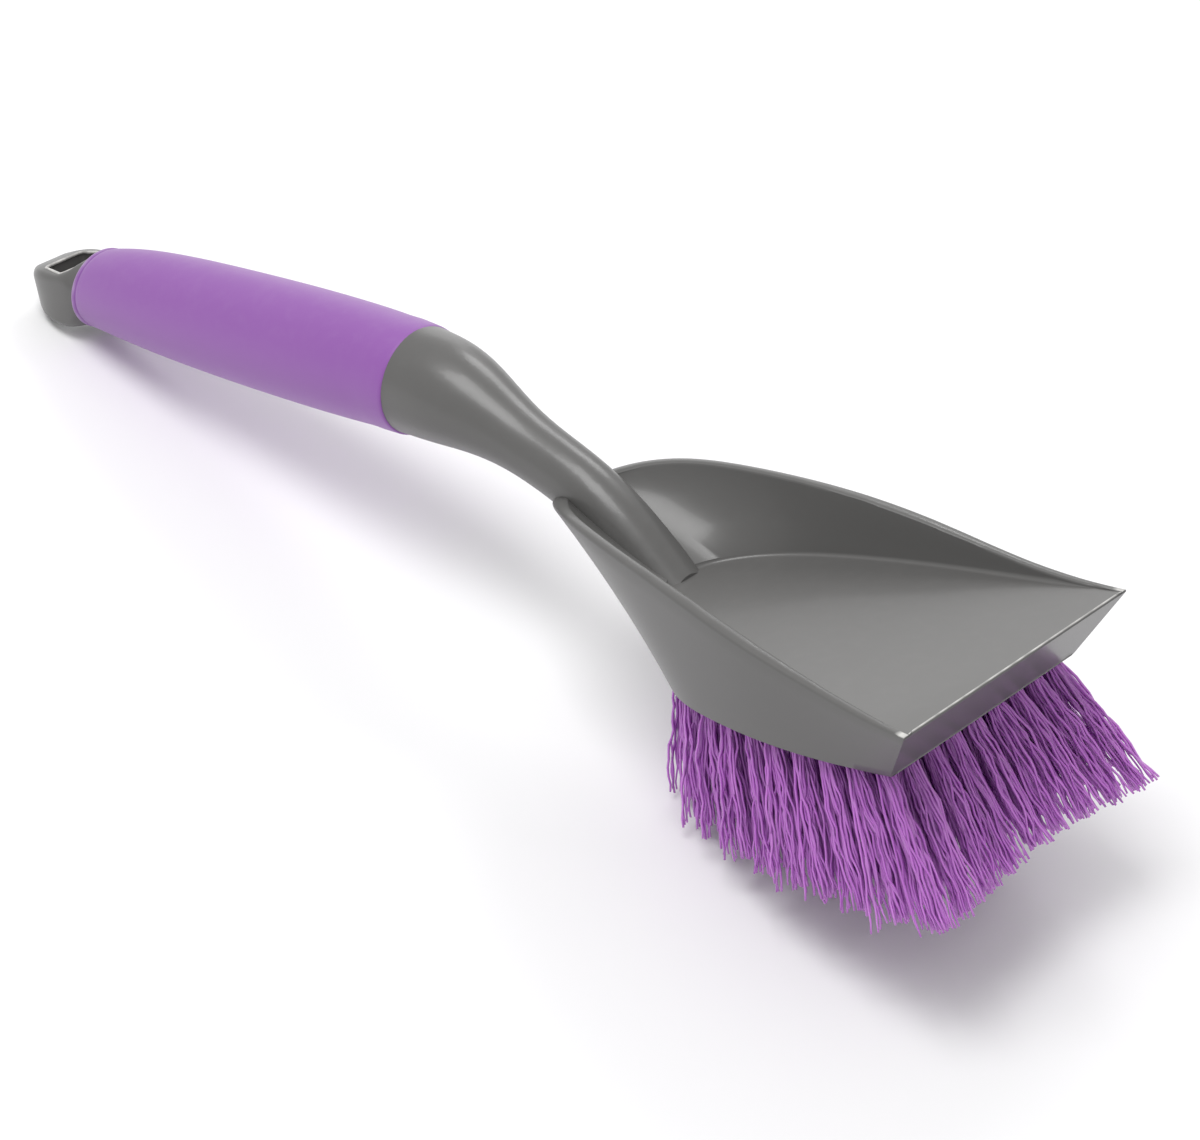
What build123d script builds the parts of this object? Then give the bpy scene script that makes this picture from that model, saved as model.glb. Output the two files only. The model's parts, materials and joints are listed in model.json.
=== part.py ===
from build123d import *
from math import hypot, radians, tan
import os

# Hand brush with a dust pan moulded over its bristles, on one straight handle.
# Every piece is drawn level: the brush face is the plane z = 0, x runs forward and
# x = 0 is the front lip, y is across.  lie_down() then tips the tool nose up onto
# its rear bristles and the end of its handle, the way it rests on a table.

# ---- driving dimensions, mm ----
lip_width = 99.6            # across the front corners of the pan
lip_height = 20.0           # pan floor above the brush face
draft_top = 48.0            # height at which the upper outline below is given
wall = 2.4                  # skirt and side walls
floor_thickness = 3.5       # pan floor
rest_angle = 20.0           # nose-up tilt when the tool lies on a table

brush_recess = 2.0          # block face above the skirt's lower edge
block_thickness = 9.0
block_gap = 0.3             # between block and skirt
tuft_pitch_x = 10.0
first_row_x = -24.0
tufts_in_row = (9, 9, 9, 9, 9, 9, 9, 9, 7, 5)
tuft_edge_margin = 5.8      # outermost tuft centre to the skirt's outside
tuft_radius = 2.1           # at the root
tuft_tip_radius = 4.1
tuft_reach = 46.0           # root to tip, measured square to the brush face
hole_radius = 2.2
hole_depth = 8.0
front_splay = 23.0          # degrees, first row leans forward
rear_splay = -7.0           # degrees, last row leans back
side_splay = 13.0           # degrees, outermost tufts lean out
anchor_length = 4.0
anchor_thickness = 0.6
anchor_height = 1.6

core_bore_radius = 7.0
core_bore_length = 60.0
spigot_length = 24.0
slot_length = 13.0          # hang slot, along the handle
slot_width = 22.0           # hang slot, across the handle
slot_centre_x = -413.5

boss_radius = 4.2           # bosses under the pan floor for the block screws
boss_pilot_radius = 1.55
stem_boss_radius = 3.6      # bosses for the tongue screws
stem_pilot_radius = 1.3
pilot_roof = 1.2            # floor left above every pilot hole
block_screws_at = [(-29.0, 22.0), (-89.0, 20.0)]    # and their mirror images
block_screw_sink_radius = 3.2
block_screw_sink_depth = 3.0
block_screw_hole_radius = 1.9
stem_screw_x = -109.0
stem_screw_y = 4.5
tongue_length = 25.0
tongue_width = 17.0
tongue_bottom = 11.5
tongue_top = 15.0
tongue_hole_radius = 1.6
tongue_head_radius = 3.3    # clearance in the block for the tongue screw heads
tongue_head_depth = 1.8

# Screws: head height, head radius, shank radius.
block_screw_size = (2.2, 2.9, 1.5)
stem_screw_size = (2.0, 3.0, 1.25)
screw_tip_gap = 1.6         # screw tip below the pan floor
screw_seat_gap = 0.5        # block screw head below its seat
recess_width = 0.7          # cross recess

# Half outlines, from the front corner round to the middle of the back.
skirt_outline = [
    (-16, 41.3), (-37, 43.0), (-62, 42.5), (-86, 39.0),
    (-107, 32.0), (-120, 20.0), (-126.5, 0),
]
draft_outline = [
    (21.5, 61.7), (-23, 49.9), (-66, 45.3), (-108, 37.2),
    (-145, 27.2), (-169, 15.8), (-185, 0),
]
pan_floor_outline = [
    (30, 56.0), (0, 47.8), (-24, 43.8), (-57, 39.2),
    (-90, 32.0), (-113, 22.5), (-125, 11.5), (-129, 0),
]
pan_mouth_outline = [
    (30, 63.0), (3, 51.6), (-23, 47.4), (-64, 42.9),
    (-108, 34.6), (-143, 24.6), (-166, 13.6), (-180, 0),
]
# Side view of the rim: x, height.
rim_profile = [
    (30, 20.0), (0, 20.0), (-12, 21.0), (-55, 29.8), (-95, 39.2),
    (-128, 44.3), (-148, 46.0), (-161, 45.4), (-172, 43.0), (-183, 38.0), (-195, 31.0),
]

# Handle stations from the hang loop forward: x, height of the centre, half width, half height.
handle_stations = [
    (-401.5, 77.9, 13.8, 13.4),
    (-385, 77.9, 15.8, 15.5),
    (-360, 76.8, 17.7, 17.5),
    (-325, 74.6, 19.0, 18.7),
    (-290, 72.4, 19.4, 19.2),
    (-262, 70.6, 19.1, 19.0),
    (-237.5, 68.6, 18.1, 18.1),
    (-228, 67.2, 17.4, 17.4),
    (-216, 64.4, 15.9, 15.8),
    (-204.5, 60.2, 13.2, 13.0),
    (-193, 55.3, 11.0, 10.6),
    (-180, 49.6, 9.9, 9.8),
    (-167, 43.2, 9.7, 9.7),
    (-155, 35.2, 9.7, 9.3),
    (-143, 24.6, 9.6, 8.6),
    (-133, 15.2, 9.4, 8.0),
    (-122, 5.4, 9.2, 7.6),
]
grip_last = 6               # station where the soft grip meets the bulb
stem_end_x = -127.5         # the neck is cut square here, at the pan floor
neck_waste = 60.0           # block cut away in front of it
# Hang loop stations: x, height of the centre, half width, half height, corner radius.
loop_stations = [
    (-401.5, 77.9, 13.8, 13.4, 13.2),
    (-407, 77.2, 13.9, 11.0, 9.0),
    (-414, 76.8, 13.8, 9.6, 6.5),
    (-422.5, 76.8, 12.2, 8.4, 6.0),
    (-428.5, 76.8, 8.4, 6.0, 5.0),
]
sleeve_wall = 4.2           # thickness of the soft grip


def outline_face(half_outline, height):
    """Flat face inside a half outline and its mirror image, at a height."""
    right = [(x, y) for x, y in half_outline]
    left = [(x, -y) for x, y in reversed(half_outline[:-1])]
    points = [Vector(x, y, height) for x, y in right + left]
    return make_face([Spline(*points), Line(points[-1], points[0])])


def drawn_in(half_outline, inset):
    """Half outline moved inwards, square to itself."""
    moved = [(half_outline[0][0] - inset, half_outline[0][1] - inset)]
    for before, point, after in zip(half_outline, half_outline[1:], half_outline[2:]):
        along_x = after[0] - before[0]
        along_y = after[1] - before[1]
        step = inset / hypot(along_x, along_y)
        moved.append((point[0] - along_y * step, point[1] + along_x * step))
    moved.append((half_outline[-1][0] + inset, 0))
    return moved


def skirt_face(height, inset=0.0):
    """Section through the outer body at a height, drawn in by an inset."""
    share = height / draft_top
    half_outline = [
        (low[0] + (high[0] - low[0]) * share, low[1] + (high[1] - low[1]) * share)
        for low, high in zip(skirt_outline, draft_outline)
    ]
    return outline_face(drawn_in(half_outline, inset), height)


def handle_plane(number):
    """Plane square to the handle's centre line at a station."""
    before = handle_stations[max(number - 1, 0)]
    after = handle_stations[min(number + 1, len(handle_stations) - 1)]
    x, z = handle_stations[number][:2]
    return Plane(origin=(x, 0, z), x_dir=(0, 1, 0), z_dir=(after[0] - before[0], 0, after[1] - before[1]))


def round_bar(first, last, shrink=0.0):
    """Smooth bar through the handle's stations, first to last."""
    sections = [
        handle_plane(number)
        * Ellipse(handle_stations[number][2] - shrink, handle_stations[number][3] - shrink)
        for number in range(first, last + 1)
    ]
    return loft(sections)


def upright_cylinder(x, y, low, high, radius):
    return Pos(x, y, (low + high) / 2) * Cylinder(radius, high - low)


def body_above_rim():
    """Everything above the rim, as a tool to cut with."""
    rim = [Vector(x, 0, z) for x, z in rim_profile]
    top = draft_top + 20
    ends = [Vector(rim[-1].X, 0, top), Vector(rim[0].X, 0, top)]
    face = make_face([Spline(*rim), Polyline(rim[-1], ends[0], ends[1], rim[0])])
    return extrude(face, amount=lip_width, both=True)


def block_screw_places():
    return [(x, side * y) for x, y in block_screws_at for side in (-1, 1)]


def stem_screw_places():
    return [(stem_screw_x, side * stem_screw_y) for side in (-1, 1)]


# ---- handle ----

def handle_stem():
    """Neck and bulb, the core rod inside the grip, and the tongue under the pan."""
    neck = round_bar(grip_last, len(handle_stations) - 1)
    front_waste = Box(neck_waste, neck_waste, neck_waste)
    neck -= Pos(stem_end_x + neck_waste / 2, 0, 0) * front_waste
    core = round_bar(0, grip_last, shrink=sleeve_wall)
    tongue_centre = (stem_end_x - 4 + tongue_length / 2, 0, (tongue_bottom + tongue_top) / 2)
    tongue = Pos(*tongue_centre) * Box(tongue_length, tongue_width, tongue_top - tongue_bottom)
    rear_x, rear_z = handle_stations[0][:2]
    bore = Pos(rear_x + core_bore_length / 2, 0, rear_z)
    bore *= Rot(0, 90, 0) * Cylinder(core_bore_radius, core_bore_length)
    stem = neck + core + tongue - bore
    for x, y in stem_screw_places():
        stem -= upright_cylinder(x, y, tongue_bottom - 1, tongue_top + 1, tongue_hole_radius)
    return stem


def grip_sleeve():
    return round_bar(0, grip_last) - round_bar(0, grip_last, shrink=sleeve_wall)


def hang_loop():
    sections = [
        Plane(origin=(x, 0, z), x_dir=(0, 1, 0), z_dir=(1, 0, 0))
        * RectangleRounded(2 * half_width, 2 * half_height, corner)
        for x, z, half_width, half_height, corner in loop_stations
    ]
    body = loft(sections)
    slot = Pos(slot_centre_x, 0, loop_stations[2][1]) * extrude(
        RectangleRounded(slot_length, slot_width, 3.0), amount=30, both=True
    )
    rear_x, rear_z = handle_stations[0][:2]
    spigot = Pos(rear_x + spigot_length / 2, 0, rear_z)
    spigot *= Rot(0, 90, 0) * Cylinder(core_bore_radius - 0.1, spigot_length)
    return body - slot + spigot


# ---- dust pan ----

def pan_shell(stem):
    outer = loft([skirt_face(0), skirt_face(draft_top)], ruled=True)
    hollow = loft(
        [outline_face(pan_floor_outline, lip_height), outline_face(pan_mouth_outline, draft_top)],
        ruled=True,
    )
    ceiling = lip_height - floor_thickness
    cavity = extrude(skirt_face(0, wall), amount=ceiling)
    shell = outer - body_above_rim() - hollow - cavity
    block_top = brush_recess + block_thickness
    for x, y in block_screw_places():
        shell += upright_cylinder(x, y, block_top, ceiling + 0.5, boss_radius)
        shell -= upright_cylinder(x, y, block_top, lip_height - pilot_roof, boss_pilot_radius)
    for x, y in stem_screw_places():
        shell += upright_cylinder(x, y, tongue_top, ceiling + 0.5, stem_boss_radius)
        shell -= upright_cylinder(x, y, tongue_top, lip_height - pilot_roof, stem_pilot_radius)
    return shell - stem


# ---- brush ----

def skirt_half_width(x):
    """Half width of the skirt's lower edge, read along its outline."""
    for (x1, y1), (x2, y2) in zip(skirt_outline, skirt_outline[1:]):
        if x2 <= x <= x1:
            return y1 + (y2 - y1) * (x - x1) / (x2 - x1)


def tuft_places():
    """Rows of (x, y) tuft centres, front row first, spread evenly inside the skirt."""
    rows = []
    for row, count in enumerate(tufts_in_row):
        x = first_row_x - row * tuft_pitch_x
        half_spread = skirt_half_width(x) - tuft_edge_margin
        pitch = 2 * half_spread / (count - 1)
        rows.append([(x, pitch * step - half_spread) for step in range(count)])
    return rows


def tuft_tip(x, y):
    """Where a tuft rooted at x, y ends, kept above the table."""
    last_x = first_row_x - (len(tufts_in_row) - 1) * tuft_pitch_x
    share = (first_row_x - x) / (first_row_x - last_x)
    forward = tan(radians(front_splay + (rear_splay - front_splay) * share))
    outward = tan(radians(side_splay * y / 40.0))
    slope = tan(radians(rest_angle))
    rise = (x - last_x) * slope
    reach = min(tuft_reach, tuft_reach - 2.5 + rise)
    return (x + reach * forward, y + reach * outward, brush_recess - reach)


def tuft(x, y):
    root = Plane(origin=(x, y, brush_recess)) * Circle(tuft_radius)
    tip = Plane(origin=tuft_tip(x, y)) * Circle(tuft_tip_radius)
    hidden = upright_cylinder(x, y, brush_recess, brush_recess + hole_depth - anchor_height, tuft_radius)
    return loft([tip, root], ruled=True) + hidden


def anchor(x, y):
    top = brush_recess + hole_depth
    return Pos(x, y, top - anchor_height / 2) * Box(anchor_thickness, anchor_length, anchor_height)


def brush_block(rows):
    height = brush_recess
    face = Pos(0, 0, height) * skirt_face(0, wall + block_gap)
    block = extrude(face, amount=block_thickness)
    block_top = brush_recess + block_thickness
    cutters = [
        upright_cylinder(x, y, height, height + hole_depth, hole_radius)
        for row in rows
        for x, y in row
    ]
    for x, y in block_screw_places():
        sink_top = height + block_screw_sink_depth
        cutters.append(upright_cylinder(x, y, height, sink_top, block_screw_sink_radius))
        cutters.append(upright_cylinder(x, y, height, block_top, block_screw_hole_radius))
    for x, y in stem_screw_places():
        cutters.append(upright_cylinder(x, y, block_top - tongue_head_depth, block_top, tongue_head_radius))
    return block - cutters


def screw(x, y, head_bottom, size):
    """Round-headed self-tapping screw standing on its head, with a cross recess."""
    head_height, head_radius, shank_radius = size
    tip_top = lip_height - screw_tip_gap
    head = upright_cylinder(x, y, head_bottom, head_bottom + head_height, head_radius)
    head = fillet(head.edges().group_by(Axis.Z)[0], head_height * 0.4)
    shank = upright_cylinder(x, y, head_bottom + head_height, tip_top, shank_radius)
    shank = chamfer(shank.edges().group_by(Axis.Z)[-1], shank_radius * 0.6)
    depth = head_height * 0.6
    recess = Box(head_radius, recess_width, depth) + Box(recess_width, head_radius, depth)
    return head + shank - Pos(x, y, head_bottom + depth / 2) * recess


def block_screws():
    head_bottom = brush_recess + block_screw_sink_depth - block_screw_size[0] - screw_seat_gap
    return [screw(x, y, head_bottom, block_screw_size) for x, y in block_screw_places()]


def stem_screws():
    head_bottom = tongue_bottom - stem_screw_size[0]
    return [screw(x, y, head_bottom, stem_screw_size) for x, y in stem_screw_places()]


# ---- assembly ----

def build_pieces():
    stem = handle_stem()
    rows = tuft_places()
    pieces = {
        "pan_shell": pan_shell(stem),
        "handle_stem": stem,
        "grip_sleeve": grip_sleeve(),
        "hang_loop": hang_loop(),
        "brush_block": brush_block(rows),
        "block_screws": block_screws(),
        "stem_screws": stem_screws(),
    }
    for number, row in enumerate(rows, start=1):
        pieces[f"bristle_row_{number}"] = [tuft(x, y) for x, y in row]
        pieces[f"tuft_anchors_{number}"] = [anchor(x, y) for x, y in row]
    return pieces


def as_compound(piece):
    solids = [s for item in piece for s in item.solids()] if isinstance(piece, list) else piece.solids()
    return Compound(solids) if len(solids) > 1 else solids[0]


def lie_down(pieces):
    """Tip the tool nose up and put the middle of its footprint at the origin."""
    tipped = {name: Rot(0, -rest_angle, 0) * as_compound(piece) for name, piece in pieces.items()}
    box = Compound(list(tipped.values())).bounding_box()
    home = Pos(-(box.min.X + box.max.X) / 2, 0, -box.min.Z)
    return {name: home * piece for name, piece in tipped.items()}


os.makedirs("parts", exist_ok=True)
for name, piece in lie_down(build_pieces()).items():
    export_step(piece, f"parts/{name}.step")
    box = piece.bounding_box()
    print(f"{name:18} volume {piece.volume:9.1f}  z {box.min.Z:6.1f} to {box.max.Z:6.1f}")
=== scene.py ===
import json
import math
import random

import bmesh
import bpy
import numpy as np
from mathutils import Matrix, Vector

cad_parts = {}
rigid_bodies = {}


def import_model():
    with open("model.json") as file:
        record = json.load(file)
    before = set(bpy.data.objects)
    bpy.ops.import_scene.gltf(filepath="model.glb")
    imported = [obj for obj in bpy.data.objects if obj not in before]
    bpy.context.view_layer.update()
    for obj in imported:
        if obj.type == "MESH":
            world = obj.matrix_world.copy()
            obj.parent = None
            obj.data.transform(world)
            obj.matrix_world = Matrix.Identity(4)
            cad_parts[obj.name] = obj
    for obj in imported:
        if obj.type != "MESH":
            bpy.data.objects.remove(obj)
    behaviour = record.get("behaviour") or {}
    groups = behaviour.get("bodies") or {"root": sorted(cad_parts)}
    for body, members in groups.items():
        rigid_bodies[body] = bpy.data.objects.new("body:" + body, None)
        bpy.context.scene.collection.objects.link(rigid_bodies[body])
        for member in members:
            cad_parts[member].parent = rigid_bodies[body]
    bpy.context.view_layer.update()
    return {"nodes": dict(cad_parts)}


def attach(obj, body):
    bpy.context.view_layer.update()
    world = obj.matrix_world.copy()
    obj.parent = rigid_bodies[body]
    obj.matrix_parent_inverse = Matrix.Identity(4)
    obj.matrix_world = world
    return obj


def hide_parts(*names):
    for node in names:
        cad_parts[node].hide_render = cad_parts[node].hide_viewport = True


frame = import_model()
mm = 0.001


# small helpers

def clearSelection():
    if bpy.context.object and bpy.context.object.mode != "OBJECT":
        bpy.ops.object.mode_set(mode="OBJECT")
    for obj in bpy.data.objects:
        obj.select_set(False)


def pick(obj):
    clearSelection()
    obj.select_set(True)
    bpy.context.view_layer.objects.active = obj


def settle(obj, matrix=None):
    # the place goes into the mesh, the object stays at the origin
    pick(obj)
    if matrix is not None:
        obj.matrix_world = matrix @ obj.matrix_world
    bpy.ops.object.transform_apply(location=True, rotation=True, scale=True)


def applyModifiers(obj):
    pick(obj)
    for modifier in list(obj.modifiers):
        bpy.ops.object.modifier_apply(modifier=modifier.name)


# the tool is drawn level and then tipped nose up on its rear bristles
toolView = {
    "home": (207.803 * mm, 0.0, 81.094 * mm),
    "tilt": -20.0,
}
toolFrame = Matrix.Translation(toolView["home"]) @ Matrix.Rotation(math.radians(toolView["tilt"]), 4, "Y")


# camera

cameraLook = {
    "target": (0.04864, -0.00301, 0.04105),
    "azimuth": 40.417,
    "elevation": 38.019,
    "roll": 5.965,
    "distance": 1.0486,
    "lens": 102.0,
    "sensorWidth": 36.0,
    "clipEnd": 20.0,
}


def addCamera(look):
    azimuth, elevation, roll = (math.radians(look[key]) for key in ("azimuth", "elevation", "roll"))
    back = Vector((
        math.sin(azimuth) * math.cos(elevation),
        -math.cos(azimuth) * math.cos(elevation),
        math.sin(elevation),
    ))
    right = Vector((math.cos(azimuth), math.sin(azimuth), 0.0))
    up = back.cross(right)
    rolledRight = right * math.cos(roll) + up * math.sin(roll)
    rolledUp = up * math.cos(roll) - right * math.sin(roll)
    turn = Matrix((rolledRight, rolledUp, back)).transposed()
    place = Vector(look["target"]) + back * look["distance"]
    bpy.ops.object.camera_add(location=place, rotation=turn.to_euler())
    camera = bpy.context.object
    camera.name = "camera"
    camera.data.lens = look["lens"]
    camera.data.sensor_width = look["sensorWidth"]
    camera.data.sensor_fit = "HORIZONTAL"
    camera.data.clip_end = look["clipEnd"]
    bpy.context.scene.camera = camera


clearSelection()
addCamera(cameraLook)
print("camera in place")


# studio

studio = {
    "floorSize": 6.0,
    "floorTone": (0.90, 0.90, 0.905, 1.0),
    "floorRoughness": 0.75,
    "floorSpecular": 0.15,
    "worldTone": (1.0, 1.0, 1.0, 1.0),
    "worldStrength": 0.66,
    # name, place, aimed at, size, strength
    "lights": [
        ("overheadSoftbox", (-0.21, -0.46, 1.70), (0.04, 0.0, 0.03), 0.85, 17.0),
        ("backSoftbox", (-0.38, 0.85, 0.85), (0.10, 0.0, 0.06), 0.38, 3.0),
        ("lowCard", (-0.84, 0.82, 0.30), (0.14, 0.0, 0.08), 0.55, 0.9),
    ],
}


def addStudio(setup):
    bpy.ops.mesh.primitive_plane_add(size=setup["floorSize"], location=(0, 0, 0))
    floor = bpy.context.object
    floor.name = "studioFloor"
    settle(floor)
    floorMaterial = bpy.data.materials.new("paleFloor")
    floorMaterial.use_nodes = True
    shader = floorMaterial.node_tree.nodes["Principled BSDF"]
    shader.inputs["Base Color"].default_value = setup["floorTone"]
    shader.inputs["Roughness"].default_value = setup["floorRoughness"]
    shader.inputs["Specular IOR Level"].default_value = setup["floorSpecular"]
    floor.data.materials.append(floorMaterial)
    for name, place, aim, size, strength in setup["lights"]:
        clearSelection()
        turn = (Vector(place) - Vector(aim)).to_track_quat("Z", "Y")
        bpy.ops.object.light_add(type="AREA", location=place, rotation=turn.to_euler())
        lamp = bpy.context.object
        lamp.name = name
        lamp.data.shape = "SQUARE"
        lamp.data.size = size
        lamp.data.energy = strength
    world = bpy.data.worlds.new("softStudio")
    world.use_nodes = True
    sky = world.node_tree.nodes["Background"]
    sky.inputs["Color"].default_value = setup["worldTone"]
    sky.inputs["Strength"].default_value = setup["worldStrength"]
    bpy.context.scene.world = world
    bpy.context.scene.view_settings.view_transform = "Standard"


addStudio(studio)
print("studio in place")


# shared shader effects: they give colours, roughness and normals to the materials

def newGroup(name, inputs, outputs):
    group = bpy.data.node_groups.new(name, "ShaderNodeTree")
    for label, kind, value in inputs:
        socket = group.interface.new_socket(name=label, in_out="INPUT", socket_type=kind)
        if value is not None:
            socket.default_value = value
    for label, kind in outputs:
        group.interface.new_socket(name=label, in_out="OUTPUT", socket_type=kind)
    entry = group.nodes.new("NodeGroupInput")
    leave = group.nodes.new("NodeGroupOutput")
    return group, entry, leave


def addNoise(group, place, detail, scale=None):
    noise = group.nodes.new("ShaderNodeTexNoise")
    noise.inputs["Detail"].default_value = detail
    if scale is not None:
        noise.inputs["Scale"].default_value = scale
    group.links.new(place.outputs["Object"], noise.inputs["Vector"])
    return noise


def addRange(group, value, limits):
    spread = group.nodes.new("ShaderNodeMapRange")
    for label, limit in limits.items():
        spread.inputs[label].default_value = limit
    group.links.new(value, spread.inputs["Value"])
    return spread


def addProduct(group, first, second, clamp=False):
    product = group.nodes.new("ShaderNodeMath")
    product.operation = "MULTIPLY"
    product.use_clamp = clamp
    group.links.new(first, product.inputs[0])
    group.links.new(second, product.inputs[1])
    return product.outputs[0]


def addBlend(group, share, first, second):
    blend = group.nodes.new("ShaderNodeMix")
    blend.data_type = "RGBA"
    group.links.new(share, blend.inputs["Factor"])
    group.links.new(first, blend.inputs["A"])
    group.links.new(second, blend.inputs["B"])
    return blend.outputs["Result"]


skinNoise = {
    "driftScale": 14.0,
    "driftDetail": 3.0,
    "grainDetail": 2.0,
    "peelDetail": 1.0,
    "grainShare": 0.35,
    "bumpDistance": 0.02 * mm,
}


def buildMouldedSkin(look):
    # colour drift, orange peel and fine grain of moulded plastic or rubber
    group, entry, leave = newGroup(
        "mouldedSkin",
        [
            ("Color", "NodeSocketColor", (0.5, 0.5, 0.5, 1.0)),
            ("Shade", "NodeSocketColor", (0.3, 0.3, 0.3, 1.0)),
            ("Drift", "NodeSocketFloat", 0.3),
            ("Peel Scale", "NodeSocketFloat", 500.0),
            ("Grain Scale", "NodeSocketFloat", 2500.0),
            ("Peel Depth", "NodeSocketFloat", 0.3),
            ("Roughness Low", "NodeSocketFloat", 0.3),
            ("Roughness High", "NodeSocketFloat", 0.45),
        ],
        [("Color", "NodeSocketColor"), ("Roughness", "NodeSocketFloat"), ("Normal", "NodeSocketVector")],
    )
    links = group.links
    place = group.nodes.new("ShaderNodeTexCoord")
    drift = addNoise(group, place, look["driftDetail"], look["driftScale"])
    amount = addProduct(group, drift.outputs["Fac"], entry.outputs["Drift"])
    tone = addBlend(group, amount, entry.outputs["Color"], entry.outputs["Shade"])
    links.new(tone, leave.inputs["Color"])
    grain = addNoise(group, place, look["grainDetail"])
    links.new(entry.outputs["Grain Scale"], grain.inputs["Scale"])
    rough = addRange(group, grain.outputs["Fac"], {})
    links.new(entry.outputs["Roughness Low"], rough.inputs["To Min"])
    links.new(entry.outputs["Roughness High"], rough.inputs["To Max"])
    links.new(rough.outputs["Result"], leave.inputs["Roughness"])
    peel = addNoise(group, place, look["peelDetail"])
    links.new(entry.outputs["Peel Scale"], peel.inputs["Scale"])
    height = group.nodes.new("ShaderNodeMath")
    height.operation = "MULTIPLY_ADD"
    links.new(grain.outputs["Fac"], height.inputs[0])
    height.inputs[1].default_value = look["grainShare"]
    links.new(peel.outputs["Fac"], height.inputs[2])
    bump = group.nodes.new("ShaderNodeBump")
    bump.inputs["Distance"].default_value = look["bumpDistance"]
    links.new(entry.outputs["Peel Depth"], bump.inputs["Strength"])
    links.new(height.outputs[0], bump.inputs["Height"])
    links.new(bump.outputs["Normal"], leave.inputs["Normal"])
    return group


dustNoise = {
    "scale": 220.0,
    "detail": 6.0,
    "limits": {"From Min": 0.45, "From Max": 0.75},
}


def buildDustFilm(look):
    # a pale film that gathers on faces turned up
    group, entry, leave = newGroup(
        "dustFilm",
        [
            ("Color", "NodeSocketColor", (0.5, 0.5, 0.5, 1.0)),
            ("Dust", "NodeSocketColor", (0.6, 0.58, 0.55, 1.0)),
            ("Amount", "NodeSocketFloat", 0.05),
        ],
        [("Color", "NodeSocketColor")],
    )
    nodes, links = group.nodes, group.links
    speck = addNoise(group, nodes.new("ShaderNodeTexCoord"), look["detail"], look["scale"])
    patch = addRange(group, speck.outputs["Fac"], look["limits"])
    facing = nodes.new("ShaderNodeNewGeometry")
    split = nodes.new("ShaderNodeSeparateXYZ")
    links.new(facing.outputs["Normal"], split.inputs["Vector"])
    upward = addProduct(group, split.outputs["Z"], patch.outputs["Result"], clamp=True)
    share = addProduct(group, upward, entry.outputs["Amount"])
    dusted = addBlend(group, share, entry.outputs["Color"], entry.outputs["Dust"])
    links.new(dusted, leave.inputs["Color"])
    return group


# patches that break up the painted edge highlight like scuffs
highlightWearNoise = {
    "scale": 160.0,
    "detail": 4.0,
    "limits": {"From Min": 0.40, "From Max": 0.62, "To Min": 0.5, "To Max": 1.0},
}


def buildEdgeHighlightWear(look):
    # painted highlight on marked edges, broken into scuff-like patches
    group, entry, leave = newGroup(
        "edgeHighlightWear",
        [("Color", "NodeSocketColor", None), ("Highlight Wear", "NodeSocketColor", None)],
        [("Color", "NodeSocketColor")],
    )
    nodes = group.nodes
    mark = nodes.new("ShaderNodeAttribute")
    mark.attribute_name = "edgeHighlightMark"
    noise = addNoise(group, nodes.new("ShaderNodeTexCoord"), look["detail"], look["scale"])
    patch = addRange(group, noise.outputs["Fac"], look["limits"])
    amount = addProduct(group, mark.outputs["Fac"], patch.outputs["Result"])
    brightened = addBlend(group, amount, entry.outputs["Color"], entry.outputs["Highlight Wear"])
    group.links.new(brightened, leave.inputs["Color"])
    return group


mouldedSkin = buildMouldedSkin(skinNoise)
dustFilm = buildDustFilm(dustNoise)
edgeHighlightWear = buildEdgeHighlightWear(highlightWearNoise)


def placeGroup(tree, group, values):
    node = tree.nodes.new("ShaderNodeGroup")
    node.node_tree = group
    for label, value in values.items():
        node.inputs[label].default_value = value
    return node


# finishes

greyPlasticLook = {
    "skin": {
        "Color": (0.112, 0.110, 0.107, 1.0),
        "Shade": (0.100, 0.099, 0.097, 1.0),
        "Drift": 0.6,
        "Peel Scale": 420.0,
        "Grain Scale": 2600.0,
        "Peel Depth": 0.2,
        "Roughness Low": 0.31,
        "Roughness High": 0.40,
    },
    "dust": {"Dust": (0.30, 0.29, 0.28, 1.0), "Amount": 0.03},
    "coat": 0.15,
    "sheen": 0.0,
    # painted edge highlight colour
    "highlightWear": (0.62, 0.61, 0.59, 1.0),
}
softGripLook = {
    "skin": {
        "Color": (0.262, 0.085, 0.370, 1.0),
        "Shade": (0.228, 0.072, 0.328, 1.0),
        "Drift": 0.6,
        "Peel Scale": 650.0,
        "Grain Scale": 3800.0,
        "Peel Depth": 0.4,
        "Roughness Low": 0.44,
        "Roughness High": 0.58,
    },
    "dust": {"Dust": (0.55, 0.46, 0.60, 1.0), "Amount": 0.04},
    "coat": 0.0,
    "sheen": 0.22,
    # painted edge highlight colour
    "highlightWear": (0.36, 0.22, 0.44, 1.0),
}
blockPlasticLook = {
    "skin": {
        "Color": (0.085, 0.080, 0.085, 1.0),
        "Shade": (0.060, 0.056, 0.060, 1.0),
        "Drift": 0.8,
        "Peel Scale": 500.0,
        "Grain Scale": 2400.0,
        "Peel Depth": 0.3,
        "Roughness Low": 0.38,
        "Roughness High": 0.50,
    },
    "dust": {"Dust": (0.30, 0.28, 0.28, 1.0), "Amount": 0.10},
    "coat": 0.0,
    "sheen": 0.0,
    # painted edge highlight colour
    "highlightWear": (0.30, 0.30, 0.30, 1.0),
}


mouldedGloss = {
    "ior": 1.48,
    "coatRoughness": 0.12,
}


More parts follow.
